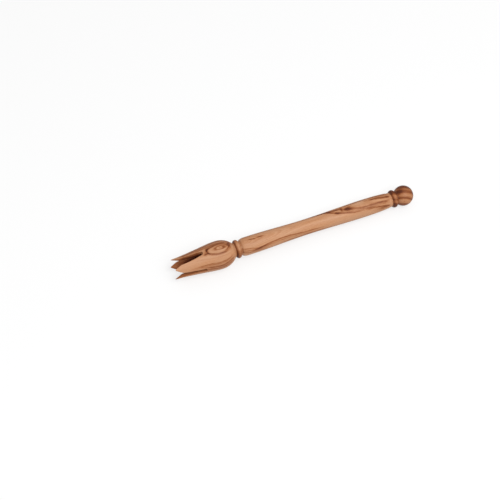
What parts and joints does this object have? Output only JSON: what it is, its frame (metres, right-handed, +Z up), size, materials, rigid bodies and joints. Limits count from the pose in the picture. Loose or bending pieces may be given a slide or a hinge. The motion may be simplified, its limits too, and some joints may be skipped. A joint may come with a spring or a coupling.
{
  "type": "picking fork",
  "caption": "Turned wooden picking fork: a hollow tulip-shaped head cut into pointed tines, a bead ring, a slim waisted handle, a second bead ring and a ball finial.",
  "frame": {"origin": "bottom centre of the fork's box, on the table it lies on", "axes": "+Z up from the table; +X along the fork towards the ball finial, with the tines at -X; the turning axis leans 1.1 degrees down towards the ball, because the head is fatter than the ball"},
  "size_m": [0.1701, 0.0186, 0.0187],
  "materials": {
    "head_wood": "oiled satin",
    "neck_ring_wood": "oiled satin",
    "handle_wood": "oiled satin",
    "finial_ring_wood": "oiled satin",
    "ball_wood": "oiled satin"
  },
  "bodies": {
    "root": {"fork_head": "head_wood", "neck_ring": "neck_ring_wood", "handle": "handle_wood", "finial_ring": "finial_ring_wood", "ball_finial": "ball_wood"}
  },
  "joints": []
}
